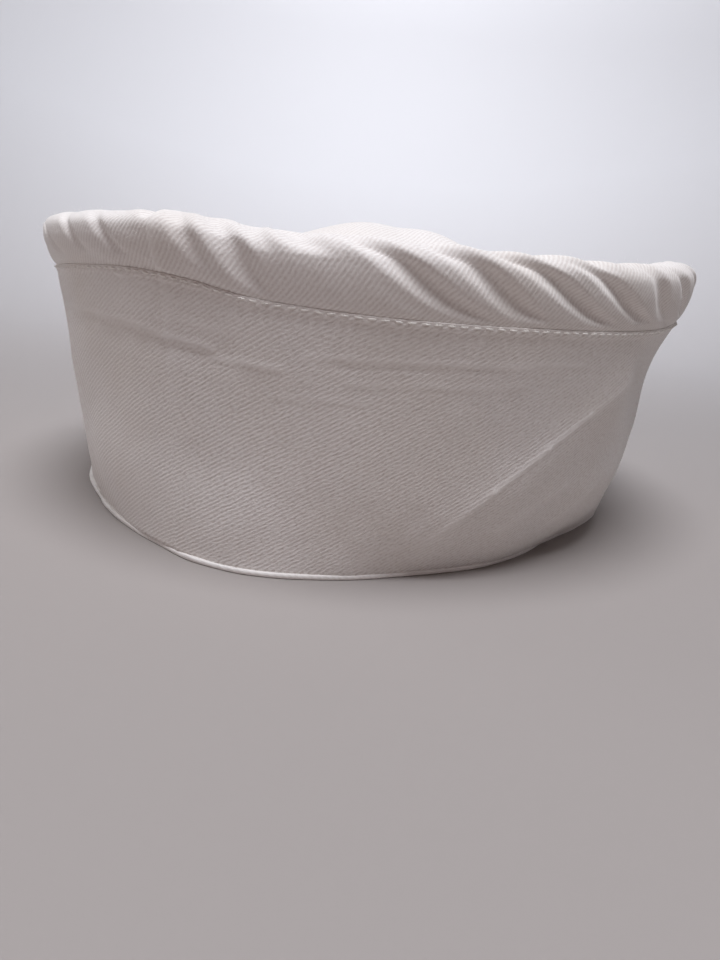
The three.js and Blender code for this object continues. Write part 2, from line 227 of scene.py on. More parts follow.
# Outer radius of the wall: flare with height, lean, tuck of the lower edge and soft creases that fade
# out at both edges
def wallRadius(azimuth, height):
    share = height / seamLevel(azimuth)
    flare = capShape["wallFlare"] * share * (1 - capShape["wallCurve"] + capShape["wallCurve"] * share)
    lean = capShape["wallLean"] * roundCurve("lean", azimuth) * (1 - share)
    tuckFade = np.clip(1 - height / capShape["tuckHeight"], 0, None)
    tuck = capShape["hemTuck"] * roundCurve("tuck", azimuth) * tuckFade ** 2
    fold = 0
    for start, end, reach, lift in wallFolds:
        distance = creaseDistance(azimuth, height, start, end) / (reach * capShape["seamHeight"])
        fold = fold + capShape["foldDepth"] * lift * bump(distance)
    return capShape["hemRadius"] + flare + lean + tuck + fold * (1 - (2 * share - 1) ** 4)


# Points in metres from azimuths, radii and heights in mm, round the cap's axis
def polarPoints(azimuth, radius, height):
    angle = np.radians(azimuth)
    across = np.stack([radius * np.sin(angle), -radius * np.cos(angle), height + 0 * angle], -1)
    return across * mm + axisPlace


# Mesh object from vertices and faces, with a UV pair in mm for each corner and, for each vertex, how
# pale its cloth is painted: partly pressed cloth and partly painted highlight
def meshObject(name, vertices, faces, cornerUv=None, pressedAndHighlit=None):
    mesh = bpy.data.meshes.new(name)
    mesh.from_pydata(vertices.reshape(-1, 3), [], faces)
    if pressedAndHighlit is not None:
        layer = mesh.attributes.new("pressedAndHighlit", "FLOAT", "POINT")
        layer.data.foreach_set("value", np.asarray(pressedAndHighlit, np.float32).ravel())
    if cornerUv is not None:
        uvLayer = mesh.uv_layers.new(name="clothMm")
        uvLayer.data.foreach_set("uv", np.asarray(cornerUv, np.float32).ravel())
    mesh.polygons.foreach_set("use_smooth", np.full(len(mesh.polygons), True))
    mesh.update()
    shape = bpy.data.objects.new(name, mesh)
    bpy.context.scene.collection.objects.link(shape)
    return shape


# Closed ring of cloth: loop is an array (rows, columns, 3) whose rows close on the first row and
# whose columns close round the cap. uv has one more row and one more column than loop.
def ringObject(name, loop, uv, pressedAndHighlit=None):
    rows, columns = loop.shape[:2]
    i, j = np.meshgrid(np.arange(rows), np.arange(columns), indexing="ij")
    nextI, nextJ = (i + 1) % rows, (j + 1) % columns
    corners = [(i, j), (i, nextJ), (nextI, nextJ), (nextI, j)]
    faces = np.stack([a * columns + b for a, b in corners], -1).reshape(-1, 4)
    uvCorners = [(i, j), (i, j + 1), (i + 1, j + 1), (i + 1, j)]
    cornerUv = np.stack([uv[a, b] for a, b in uvCorners], -2)
    return meshObject(name, loop, faces.tolist(), cornerUv, pressedAndHighlit)


# Azimuths of a ring's columns and of its UV columns: both start at the upright join, where the
# weave of the real cloth breaks too
def ringAzimuths(columns):
    turn = np.arange(columns + 1) * 360 / columns
    return turn[:-1] + capShape["joinAzimuth"], turn


print("cap shape ready")

# Side wall
wallDetail = {
    "columns": 900,
    "rows": 72,
    "seamRows": 18,
    "seamBand": 2.2,  # finer rows over this last part
    "innerRows": 16,
    "foot": 1.2,  # the wall starts inside the edging
    "unevenLift": 0.28,
    "unevenLength": 34,
    "rippleLift": 0.07,
    "rippleLength": 11,
    "seamCalm": 0.15,  # share of the unevenness left at the seam, which holds the cloth even
    "calmReach": 6,
    "innerLift": 0.25,
    "innerLength": 26,
    "stitchDrop": 0.72,  # stitch line below the wall's folded top edge
    "stitchPitch": 3.05,
    "foldLift": 0.3,  # the wall's top edge is folded and sewn flat over the rim strip
    "foldWidth": 1.9,
    "foldSlope": 0.5,
    "foldWaver": 0.12,
    "foldWaverLength": 12,
    "foldRound": 0.45,
    "stitchPinch": 0.16,
    "pinchEven": 0.6,  # share of the pinch that runs on between the stitches, and the share that waves
    "pinchWave": 0.4,
    "pinchReach": 0.7,
    "puckerLift": 0.1,
    "puckerFade": 2.4,
    "puckerDrift": 1.5,  # how far the puckers' phase strays, in radians
    "driftLength": 30,
    "joinStep": 0.35,
    "joinBand": 4.5,
    "joinGroove": 0.25,
    "grooveReach": 0.9,
}

# How pale the wall's cloth is painted: place and half width in mm of the painted highlights on its
# folded edge and beside the upright join, where they catch the overhead light, and the flatter, paler
# weave to the left of the join
wallPaleAndHighlight = {
    "lineSpread": 1.1,  # half width of a pale line as a share of its pressed line's
    "fold": 0.45,
    "foldPlace": 0.3,
    "foldReach": 0.6,
    "join": 0.45,
    "joinPlace": 1.4,
    "joinReach": 2.4,
    "joinFades": 60,  # mm below the seam where the join's stripe ends
    "joinFull": 5,
    "left": 0.42,
    "leftStart": 4,  # degrees past the join where the paler cloth starts
    "leftFull": -12,
}

# Pressed lines of the wall: two ends as (azimuth, share of seamHeight), half width in mm, lift in mm
# and how pale it is painted, partly pressed cloth and partly painted highlight where its ridge catches the
# light
pressedLines = [
    ((-60, 0.897), (-45, 0.891), 0.9, 0.4, 0.8), ((-45, 0.891), (-35.6, 0.884), 0.9, 0.5, 1),
    ((-35.6, 0.884), (-29.2, 0.859), 0.9, 0.5, 1), ((-29.2, 0.859), (-21, 0.835), 0.9, 0.5, 1),
    ((-22, 0.806), (-11, 0.8), 0.85, 0.35, 0.9), ((-38, 1.056), (-30, 1.032), 0.65, 0.25, 0.8),
    ((-30, 1.03), (-26, 0.975), 0.6, 0.2, 0.7), ((-27, 0.93), (-17, 0.9), 0.7, 0.2, 0.6),
    ((-54, 0.872), (-36, 0.862), 0.8, -0.14, 0), ((-36, 0.858), (-21, 0.81), 0.8, -0.16, 0),
    ((-50, 0.845), (-38, 0.84), 0.7, 0.18, 0.5), ((-12, 0.7), (2, 0.71), 0.8, 0.14, 0.45),
    ((-5, 0.822), (4, 0.832), 0.7, -0.22, 0), ((4, 0.832), (18, 0.846), 0.7, -0.22, 0),
    ((-8, 0.85), (2, 0.855), 0.8, 0.18, 0.6), ((2, 0.855), (34, 0.872), 0.8, 0.2, 0.8),
    ((-2, 0.77), (24, 0.79), 0.8, 0.16, 0.5), ((12.5, 0.15), (22.6, 0.379), 2, 0.35, 0.4),
    ((22.6, 0.379), (31.3, 0.55), 1.5, 0.42, 0.7), ((31.3, 0.55), (38.6, 0.675), 1.4, 0.38, 0.7),
    ((38.6, 0.675), (47, 0.785), 1.8, 0.16, 0.3), ((26, 0.2), (40, 0.36), 2.4, 0.3, 0.3),
    ((40, 0.16), (52, 0.32), 2.6, 0.35, 0.3), ((-120, 0.5), (-95, 0.44), 1.2, 0.3, 0.6),
    ((95, 0.75), (128, 0.79), 1.2, 0.3, 0.6), ((160, 0.3), (188, 0.42), 2, 0.35, 0.4),
    ((-150, 0.86), (-118, 0.84), 1.1, 0.3, 0.6),
]


# How pale the wall's cloth is painted: along the pressed lines, partly pressed cloth and partly painted
# highlight; a painted highlight on the folded top edge and beside the upright join; and flatter, paler
# weave all over to the left of the join
def wallPressedAndHighlit(azimuth, height):
    p, total = wallPaleAndHighlight, 0
    for start, end, reach, lift, pale in pressedLines:
        distance = creaseDistance(azimuth, height, start, end)
        total = total + pale * bump(distance / (reach * p["lineSpread"]))
    below = seamLevel(azimuth) - height
    # Painted highlight on the folded top edge, which faces up into the overhead light
    total = total + p["fold"] * bump((below - p["foldPlace"]) / p["foldReach"])
    joinStep = azimuthStep(capShape["joinAzimuth"], azimuth)
    # Flatter, paler weave to the left of the join
    total = total + p["left"] * ease(joinStep, p["leftStart"], p["leftFull"])
    # Painted highlight in a stripe beside the upright join, where its step catches the light
    joinStripe = p["join"] * bump((joinDistance(azimuth) - p["joinPlace"]) / p["joinReach"])
    total = total + joinStripe * ease(below, p["joinFades"], p["joinFull"])
    return np.clip(total, 0, 1)


# Wall's relief over its main shape: long and short unevenness that calms down near the seam, pressed
# lines, the raised and rounded fold at the top edge, the pinch and the puckers of its stitches, and the
# step and groove of the upright join
def wallRelief(azimuth, height):
    d = wallDetail
    below = seamLevel(azimuth) - height
    uneven = d["unevenLift"] * clothNoise(azimuth, height, d["unevenLength"], 11)
    uneven = uneven + d["rippleLift"] * clothNoise(azimuth, height, d["rippleLength"], 12)
    relief = uneven * (d["seamCalm"] + (1 - d["seamCalm"]) * ease(below, 0, d["calmReach"]))
    for start, end, reach, lift, pale in pressedLines:
        relief = relief + lift * bump(creaseDistance(azimuth, height, start, end) / reach)
    stitchPhase = np.radians(azimuth) * seamRadius / d["stitchPitch"] * 2 * math.pi
    foldPlace = below + d["foldWaver"] * clothNoise(azimuth, 0, d["foldWaverLength"], 15)
    foldEdge = ease(foldPlace, d["foldWidth"] + d["foldSlope"], d["foldWidth"] - d["foldSlope"])
    pinch = d["stitchPinch"] * (d["pinchEven"] - d["pinchWave"] * np.cos(stitchPhase))
    pinch = pinch * bump((below - d["stitchDrop"]) / d["pinchReach"])
    relief = relief + d["foldLift"] * foldEdge - pinch
    roundShare = np.clip(1 - below / d["foldRound"], 0, 1)
    relief = relief - d["foldRound"] * (1 - np.sqrt(1 - roundShare ** 2))
    drift = d["puckerDrift"] * clothNoise(azimuth, height, d["driftLength"], 13)
    relief = relief - d["puckerLift"] * np.cos(stitchPhase + drift) * np.exp(-below / d["puckerFade"])
    pastJoin = joinDistance(azimuth)
    step = np.where(pastJoin >= 0, np.exp(-np.abs(pastJoin) / d["joinBand"]), 0)
    return relief + d["joinStep"] * step - d["joinGroove"] * bump(pastJoin / d["grooveReach"])


# Side wall: a closed loop for each azimuth, up the outer face with finer rows at the top, over the edge
# and down the inner face, whose radius is smaller by the cloth's thickness
def makeSideWall():
    d = wallDetail
    azimuth, turn = ringAzimuths(d["columns"])
    seam = seamLevel(azimuth)[None, :]
    lowShare = np.linspace(0, 1, d["rows"])[:, None]
    bandShare = np.linspace(0, 1, d["seamRows"] + 1)[1:, None]
    innerShare = np.linspace(1, 0, d["innerRows"] + 1)[:, None]
    lowHeight = d["foot"] + (seam - d["seamBand"] - d["foot"]) * lowShare
    outerHeight = np.concatenate([lowHeight, seam - d["seamBand"] * (1 - bandShare)])
    innerHeight = d["foot"] + (seam - d["foot"]) * innerShare
    azimuths = azimuth[None, :] + 0 * outerHeight
    outer = wallRadius(azimuths, outerHeight) + wallRelief(azimuths, outerHeight)
    innerAzimuths = azimuth[None, :] + 0 * innerHeight
    inner = wallRadius(innerAzimuths, innerHeight) - capShape["wallCloth"]
    inner = inner + d["innerLift"] * clothNoise(innerAzimuths, innerHeight, d["innerLength"], 14)
    radius = np.concatenate([outer, inner])
    height = np.concatenate([outerHeight, innerHeight])
    loop = polarPoints(azimuth[None, :], radius, height)
    u = np.radians(turn)[None, :] * (capShape["hemRadius"] + seamRadius) / 2
    v = np.concatenate([height, height[:1]])
    v = np.concatenate([v, v[:, :1]], 1)
    uv = np.stack([u + 0 * v, v], -1)
    pressedAndHighlit = np.concatenate([wallPressedAndHighlit(azimuths, outerHeight), 0 * innerHeight])
    return ringObject("sideWallTwill", loop, uv, pressedAndHighlit)


# Rim strip
rimDetail = {
    "columns": 960,
    "rows": 66,
    "innerRows": 20,
    "pillow": 0.45,  # swelling of the cloth between its furrows, its middle and half width
    "pillowPlace": 0.42,
    "pillowReach": 0.5,
    "furrowDepth": 2.2,
    "furrowShift": -0.6,  # degrees from the solid's furrows
    "longBank": 1.05,  # width of a furrow's left bank, which the light reaches, and of its right bank
    "shortBank": 0.85,
    "tuckIn": 0.24,  # the strip's lower edge goes in behind the wall's folded edge
    "tuckDown": 0.12,
    "tuckReach": 0.5,
    "topDip": 0.6,  # the upper edge dips into the top's seam
    "topDipReach": 1.2,
    "unevenLift": 0.22,
    "unevenLength": 17,
    "unevenTurn": 22,  # degrees that the pattern slants over the strip's width
    "unevenSquash": 0.5,  # makes the pattern longer up the strip than round it
    "puckerLift": 0.22,
    "puckerLength": 6.5,
    "puckerTurn": 26,
    "puckerSquash": 0.3,
    "puckerFade": 5,
    "puckerStart": 1.5,
    "crestLift": 0.55,
    "crestLength": 12,
    "crestTurn": 14,
    "crestSquash": 0.3,
    "crestPlace": 0.66,
    "crestReach": 0.3,
    "calmPlace": -70,  # azimuth round which the crests are lower, and how far to each side
    "calmShare": 0.7,
    "calmStart": 45,
    "calmFull": 25,
    "edgeStart": 0.08,  # shares of the width where the relief is full, from the lower and upper edge
    "edgeEnd": 0.9,
    "joinStep": 0.65,
    "joinBand": 5,
    "joinGroove": 0.5,
    "grooveReach": 0.8,
    "stripWidth": 31,
    "meanBulge": 2,  # the cloth's UV is as long as the strip's girth at this bulge
}

# How pale the rim's cloth is painted: a painted highlight in a stripe beside the upright join, where
# its step catches the light, and flatter, paler weave round the left
rimPaleAndHighlight = {
    "join": 0.7,
    "joinPlace": 1.2,
    "joinReach": 1.6,
    "joinEdge": 0.1,
    "left": 0.5,
    "leftPlace": -80,
    "leftStart": 50,
    "leftFull": 30,
}


# Depth of the furrows: each is a slanted trough, its left bank wider than its right one
def gatherDepthAt(azimuth, share):
    d, depth = rimDetail, 0
    for place, slant, spread, strength, start, end in gathers:
        line = place - slant * (share - gatherLevel)
        across = azimuthStep(line + d["furrowShift"], azimuth) / spread
        across = across / np.where(across < 0, d["longBank"], d["shortBank"])
        middle = (start + end) / 2
        along = (share - middle) / (end - middle)
        depth = depth + d["furrowDepth"] * strength * bump(across) * bump(along * np.abs(along))
    return depth


# Rim's relief over its main shape: pillows between the furrows, unevenness, fine puckers that start
# at the seam's stitches, crests under the top edge, and the step and groove of the upright join
def rimRelief(azimuth, share):
    d = rimDetail
    along = share * d["stripWidth"]
    middle = bump((share - d["pillowPlace"]) / d["pillowReach"])
    relief = d["pillow"] * middle - gatherDepthAt(azimuth, share)
    turned, squashed = azimuth + d["unevenTurn"] * share, along * d["unevenSquash"]
    relief = relief + d["unevenLift"] * clothNoise(turned, squashed, d["unevenLength"], 21)
    turned, squashed = azimuth + d["puckerTurn"] * share, along * d["puckerSquash"]
    pucker = clothNoise(turned, squashed, d["puckerLength"], 22) * np.exp(-along / d["puckerFade"])
    relief = relief + d["puckerLift"] * pucker * ease(along, 0, d["puckerStart"])
    turned, squashed = azimuth + d["crestTurn"] * share, along * d["crestSquash"]
    crest = clothNoise(turned, squashed, d["crestLength"], 23)
    aside = np.abs(azimuthStep(d["calmPlace"], azimuth))
    crest = crest * (1 - d["calmShare"] * ease(aside, d["calmStart"], d["calmFull"]))
    relief = relief + d["crestLift"] * crest * bump((share - d["crestPlace"]) / d["crestReach"])
    pastJoin = joinDistance(azimuth)
    step = np.where(pastJoin >= 0, np.exp(-np.abs(pastJoin) / d["joinBand"]), 0)
    join = d["joinStep"] * step - d["joinGroove"] * bump(pastJoin / d["grooveReach"])
    edges = ease(share, 0, d["edgeStart"]) * ease(share, 1, d["edgeEnd"])
    return (relief + join) * edges


# Outer face and outward normal of the rim strip at shares of its width: a spline through rimSection
# for each azimuth, its slopes taken from neighbouring points
def rimFace(azimuth, share):
    seam = seamLevel(azimuth)
    rise = rimTopLevel(azimuth) - seam
    bulge = capShape["rimBulge"] * roundCurve("bulge", azimuth)
    rows = np.concatenate([rimSection, [(0, 1, 0)]])
    radius = seamRadius + rows[:, :1] * bulge - rows[:, 1:2] * capShape["rimDepth"]
    height = seam + rows[:, 2:] * rise
    height[-1] = seam + rise - capShape["topDrop"]
    knots = np.stack([radius + 0 * height, height], -1)
    place = share * (len(rows) - 1)
    i = np.minimum(place.astype(int), len(rows) - 2)
    t = (place - i)[:, None, None]
    p0, p1 = knots[np.maximum(i - 1, 0)], knots[i]
    p2, p3 = knots[i + 1], knots[np.minimum(i + 2, len(rows) - 1)]
    leave, arrive = (p2 - p0) / 2, (p3 - p1) / 2
    face = (2 * p1 - 2 * p2 + leave + arrive) * t ** 3
    face = face + (3 * p2 - 3 * p1 - 2 * leave - arrive) * t ** 2 + leave * t + p1
    along = np.gradient(face, axis=0)
    along = along / np.linalg.norm(along, axis=-1, keepdims=True)
    normal = np.stack([along[..., 1], -along[..., 0]], -1)
    return face, normal


# Rim strip: a closed loop for each azimuth, over the outer face with its relief and back along the same
# face moved in by the cloth's thickness, with both edges let in at their seams
def makeRimStrip():
    d = rimDetail
    azimuth, turn = ringAzimuths(d["columns"])
    loops, shares = [], []
    for count, cloth in ((d["rows"], 0), (d["innerRows"], capShape["rimCloth"])):
        share = np.linspace(0, 1, count + 1)
        face, normal = rimFace(azimuth, share)
        relief = rimRelief(azimuth[None, :] + 0 * face[..., 0], share[:, None] + 0 * face[..., 0])
        shell = face + normal * (relief - cloth)[..., None]
        along = share[:, None] * d["stripWidth"]
        shell[..., 0] -= d["tuckIn"] * np.exp(-along / d["tuckReach"])
        shell[..., 1] -= d["tuckDown"] * np.exp(-along / d["tuckReach"])
        shell[..., 1] -= d["topDip"] * np.exp((along - d["stripWidth"]) / d["topDipReach"])
        loops.append(shell if cloth == 0 else shell[::-1])
        shares.append(share if cloth == 0 else share[::-1])
    shell = np.concatenate(loops)
    loop = polarPoints(azimuth[None, :], shell[..., 0], shell[..., 1])
    share = np.concatenate(shares + [shares[0][:1]])
    u = np.radians(turn)[None, :] * (seamRadius + d["meanBulge"])
    v = share[:, None] * d["stripWidth"]
    uv = np.stack([u + 0 * v, v + 0 * u], -1)
    # Pale mask of the rim: painted highlight beside the join's step, and flatter, paler weave round the
    # left
    p = rimPaleAndHighlight
    stripe = p["join"] * bump((joinDistance(azimuth)[None, :] - p["joinPlace"]) / p["joinReach"])
    stripe = stripe * ease(share[:-1, None], 0, p["joinEdge"])
    aside = np.abs(azimuthStep(p["leftPlace"], azimuth))[None, :]
    pressedAndHighlit = np.maximum(stripe, p["left"] * ease(aside, p["leftStart"], p["leftFull"]))
    return ringObject("rimStripTwill", loop, uv, pressedAndHighlit)


# Round top
topDetail = {
    "columns": 480,
    "rings": 92,
    "innerRings": 26,
    "edgeReach": 1.2,  # the top's edge runs in under the rim strip
    "edgeDip": 1.3,
    "dipStart": 0.975,
    "ruckDepth": 1.2,
    "ruckReach": 0.2,
    "ruckSpread": 2,  # a ruck's half width as a multiple of its furrow's
    "unevenLift": 0.35,
    "unevenLength": 30,
    "unevenEnd": 0.9,  # share of the radius past which the unevenness fades
    "waves": 16,
    "shortest": 0.6,
    "longest": 1.6,
    "peak": 6.4,  # divides the waves' sum, so that it stays under about 1
}


# Height of the round top's outer face: the seam's waves fading to the middle, a dome, air puffs and
# the rucks that run in from the rim's furrows
def topLevel(azimuth, share):
    d = topDetail
    angle = np.radians(azimuth)
    x, y = share * np.sin(angle), -share * np.cos(angle)
    even = rimTopHeight - capShape["topDrop"] - capShape["rimSag"] / 2
    seam = rimTopLevel(azimuth) - capShape["topDrop"]
    puff = 0
    for placeX, placeY, reach, lift in topPuffs:
        puff = puff + lift * bump(np.hypot(x - placeX, y - placeY) / reach)
    ruck = 0
    for place, slant, spread, strength, start, end in gathers:
        line = place - slant * (1 - gatherLevel)
        ruck = ruck + strength * bump(azimuthStep(line, azimuth) / (d["ruckSpread"] * spread))
    ruck = d["ruckDepth"] * ruck * bump((share - 1 + d["ruckReach"]) / d["ruckReach"])
    level = even + (seam - even) * share ** 2 + capShape["topDome"] * (1 - share ** 2)
    return level + capShape["topPuff"] * puff * (1 - share ** 4) - ruck


# Relief of the round top: plane cosine waves in x and y, so that the middle stays smooth
def topRelief(x, y):
    d, total = topDetail, 0
    random = np.random.default_rng(31)
    for _ in range(d["waves"]):
        heading = random.uniform(0, 2 * math.pi)
        length = d["unevenLength"] * random.uniform(d["shortest"], d["longest"])
        ahead = x * math.cos(heading) + y * math.sin(heading)
        total = total + np.cos(2 * math.pi * ahead / length + random.uniform(0, 2 * math.pi))
    return d["unevenLift"] * total / d["peak"]


# Round top: outer and inner face as discs of rings round a middle point, the inner one lower by the
# cloth's thickness, joined by a band at the edge
def makeRoundTop():
    d = topDetail
    columns = d["columns"]
    azimuth = np.arange(columns) * 360 / columns
    edge = topRadius + d["edgeReach"]
    faces, vertices, first = [], [], 0
    for rings, cloth in ((d["rings"], 0), (d["innerRings"], capShape["topCloth"])):
        share = np.linspace(0, 1, rings + 1)[1:, None]
        azimuths = azimuth[None, :] + 0 * share
        radius = edge * share
        angle = np.radians(azimuths)
        relief = topRelief(radius * np.sin(angle), -radius * np.cos(angle))
        relief = relief * ease(share, 1, d["unevenEnd"])
        height = topLevel(azimuths, share + 0 * azimuths) + relief - cloth
        height = height - d["edgeDip"] * ease(share, d["dipStart"], 1)
        vertices.append(polarPoints(azimuths, radius, height).reshape(-1, 3))
        middle = topLevel(np.zeros(1), np.zeros(1)) + topRelief(np.zeros(1), np.zeros(1)) - cloth
        vertices.append(polarPoints(np.zeros(1), np.zeros(1), middle))
        i, j = np.meshgrid(np.arange(rings - 1), np.arange(columns), indexing="ij")
        nextJ = (j + 1) % columns
        corners = [(i, j), (i, nextJ), (i + 1, nextJ), (i + 1, j)]
        quads = np.stack([a * columns + b for a, b in corners], -1)
        column = np.arange(columns)
        fan = np.stack([np.full(columns, rings * columns), (column + 1) % columns, column], -1)
        if cloth == 0:
            quads, fan = quads[..., ::-1], fan[:, ::-1]
            outerEdge = (rings - 1) * columns
        faces += (quads.reshape(-1, 4) + first).tolist() + (fan + first).tolist()
        innerEdge = first + (rings - 1) * columns
        first += rings * columns + 1
    column = np.arange(columns)
    after = (column + 1) % columns
    band = np.stack([outerEdge + after, outerEdge + column, innerEdge + column, innerEdge + after], -1)
    faces += band.tolist()
    return meshObject("roundTopTwill", np.concatenate(vertices), faces)


# Edging under the wall
edgingDetail = {
    "columns": 900,
    "sides": 18,
    "height": 1.5,
    "lip": 1.0,
    "squareness": 0.55,
    "waver": 0.14,
    "waverLength": 16,
    "tallWaver": 0.35,  # share of the waver that the height takes part in
    "girth": 8,  # once round the roll, for the cloth's UV
}


# Thin rolled edging: a rounded box section, its half width and half height carried by a cosine and a
# sine raised to a power below 1, flat underneath at the surface
def makeEdging():
    d = edgingDetail
    azimuth, turn = ringAzimuths(d["columns"])
    wall = wallRadius(azimuth, np.full(d["columns"], d["height"]))
    waver = d["waver"] * clothNoise(azimuth, 0, d["waverLength"], 41)
    lip = wall + d["lip"] * roundCurve("lip", azimuth) + waver
    back = wall - capShape["wallCloth"]
    around = np.linspace(0, 2 * math.pi, d["sides"], endpoint=False)[:, None]
    across = np.sign(np.cos(around)) * np.abs(np.cos(around)) ** d["squareness"]
    up = np.sign(np.sin(around)) * np.abs(np.sin(around)) ** d["squareness"]
    radius = (lip + back) / 2 + (lip - back) / 2 * across
    tall = d["height"] + d["tallWaver"] * waver
    height = tall / 2 * (1 + up) + 0 * radius
    loop = polarPoints(azimuth[None, :], radius, height)
    u = np.radians(turn)[None, :] * capShape["hemRadius"]
    v = np.linspace(0, d["girth"], d["sides"] + 1)[:, None]
    uv = np.stack([u + 0 * v, v + 0 * u], -1)
    return ringObject("hemEdgingRoll", loop, uv)


# Closed tubes from an array (tube, ring, side, 3): quads between rings and a flat face at each end
def tubesObject(name, points):
    count, rings, sides = points.shape[:3]
    i, j = np.meshgrid(np.arange(rings - 1), np.arange(sides), indexing="ij")
    after = (j + 1) % sides
    quads = np.stack([i * sides + j, (i + 1) * sides + j, (i + 1) * sides + after, i * sides + after], -1)
    first = np.arange(count)[:, None, None] * rings * sides
    faces = (quads.reshape(-1, 4)[None] + first).reshape(-1, 4).tolist()
    end = np.arange(sides)
    faces += (end[None] + first[:, 0]).tolist()
    faces += (end[None, ::-1] + (rings - 1) * sides + first[:, 0]).tolist()
    return meshObject(name, points, faces)


# Stitches of the rim seam
stitchDetail = {
    "length": 2.3,
    "radius": 0.25,
    "sides": 6,
    "rings": 7,
    "arch": 0.3,
    "endDip": 0.2,
    "placeSpread": 0.03,  # degrees
    "tiltSpread": 0.09,
    "endShare": 0.04,  # added to the square of the radius, so that the ends aren't sharp
    "endLeast": 0.05,
}


# Stitches: one thread dash for each step round the cap, a tube along a shallow arch whose radius
# tapers to its ends, all placed at once as arrays (stitch, ring, side)
def makeStitches():
    d, w = stitchDetail, wallDetail
    random = np.random.default_rng(51)
    count = int(2 * math.pi * seamRadius / w["stitchPitch"])
    middle = capShape["joinAzimuth"] + (np.arange(count) + 0.5) * 360 / count
    middle = middle + random.normal(0, d["placeSpread"], count)
    share = np.linspace(-1, 1, d["rings"])
    halfTurn = math.degrees(d["length"] / 2 / seamRadius)
    tilt = random.normal(0, d["tiltSpread"], count)
    azimuth = middle[:, None] + share[None, :] * halfTurn
    height = seamLevel(azimuth) - w["stitchDrop"] + tilt[:, None] * share[None, :]
    bed = wallRadius(azimuth, height) + wallRelief(azimuth, height)
    radius = bed + d["arch"] * (1 - share[None, :] ** 2) - d["endDip"] * share[None, :] ** 4
    thick = d["radius"] * np.sqrt(np.clip(1 + d["endShare"] - share ** 2, d["endLeast"], None))
    around = np.arange(d["sides"]) * 2 * math.pi / d["sides"]
    radii = radius[..., None] + thick[None, :, None] * np.cos(around)
    heights = height[..., None] + thick[None, :, None] * np.sin(around)
    points = polarPoints(azimuth[..., None] + 0 * radii, radii, heights)
    return tubesObject("rimSeamStitches", points)


# Loose fibres along the rim
fibreDetail = {
    "count": 3000,
    "length": 0.95,
    "shortest": 0.35,
    "longest": 1.2,
    "radius": 0.018,
    "rings": 4,
    "faceSteps": 200,  # steps over the strip's width, and the first and last that fibres leave
    "firstStep": 60,
    "lastStep": 150,
    "rootDepth": 0.05,
    "leastOut": 0.25,
    "sideLean": 0.8,
    "upLean": 0.4,
    "bend": 0.35,
    "upBend": 0.7,
    "thinning": 0.6,
}


# Loose fibres: thin three-sided tubes that leave the cloth at a point of the rim's face, lean a random
# way and bend, all placed at once as arrays (fibre, ring, side)
def makeFibres():
    d = fibreDetail
    random = np.random.default_rng(61)
    count, rings = d["count"], d["rings"]
    azimuth = random.uniform(-180, 180, count)
    share = np.linspace(0, 1, d["faceSteps"] + 1)
    place = random.integers(d["firstStep"], d["lastStep"], count)
    face, normal = rimFace(azimuth, share)
    relief = rimRelief(azimuth[None, :] + 0 * face[..., 0], share[:, None] + 0 * face[..., 0])
    shell = face + normal * (relief - d["rootDepth"])[..., None]
    number = np.arange(count)
    root, out = shell[place, number], normal[place, number]
    angle = np.radians(azimuth)
    radial = np.stack([np.sin(angle), -np.cos(angle), 0 * angle], -1)
    tangent = np.stack([np.cos(angle), np.sin(angle), 0 * angle], -1)
    upright = np.array([0, 0, 1.0])
    start = radial * root[:, :1] + upright * root[:, 1:]
    outward = radial * out[:, :1] + upright * out[:, 1:]
    lean = outward * random.uniform(d["leastOut"], 1, (count, 1))
    lean = lean + tangent * random.normal(0, d["sideLean"], (count, 1))
    lean = lean + upright * random.normal(0, d["upLean"], (count, 1))
    bend = random.normal(0, d["bend"], (count, 3)) * np.array([1, 1, d["upBend"]])
    length = d["length"] * random.uniform(d["shortest"], d["longest"], (count, 1, 1))
    t = np.linspace(0, 1, rings)[None, :, None]
    centre = start[:, None] + length * (lean[:, None] * t + bend[:, None] * t * t)
    ahead = lean / np.linalg.norm(lean, axis=1, keepdims=True)
    side = np.cross(ahead, upright + 0.3 * radial)
    side = side / np.linalg.norm(side, axis=1, keepdims=True)
    other = np.cross(ahead, side)
    around = np.arange(3) * 2 * math.pi / 3
    ringShape = side[:, None] * np.cos(around)[None, :, None]
    ringShape = ringShape + other[:, None] * np.sin(around)[None, :, None]
    thin = d["radius"] * (1 - d["thinning"] * t[..., None])
    points = centre[:, :, None] + ringShape[:, None] * thin
    return tubesObject("rimLooseFibres", points * mm + axisPlace)


sideWall = makeSideWall()
print("side wall made")
rimStrip = makeRimStrip()
print("rim strip made")
roundTop = makeRoundTop()
print("round top made")
hemEdging = makeEdging()
stitches = makeStitches()
fibres = makeFibres()
print("edging, stitches and loose fibres made")


# Linear colour from an sRGB hex value
def linearColour(hexValue):
    channels = [int(hexValue[k:k + 2], 16) / 255 for k in (0, 2, 4)]
    linear = [c / 12.92 if c <= 0.04045 else ((c + 0.055) / 1.055) ** 2.4 for c in channels]
    return (*linear, 1)


# Adds a node, sets its properties and fills its inputs with numbers, sockets or other nodes' first
# outputs. A Mix node's colours are its inputs 6 and 7, and a Map Range's numbers its inputs 1 to 4.
def addNode(tree, kind, inputs=None, **settings):
    node = tree.nodes.new(kind)
    for key, value in settings.items():
        setattr(node, key, value)
    for key, value in (inputs or {}).items():
        source = value.outputs[0] if isinstance(value, bpy.types.Node) else value
        if isinstance(source, bpy.types.NodeSocket):
            tree.links.new(source, node.inputs[key])
        else:
            node.inputs[key].default_value = source
    return node
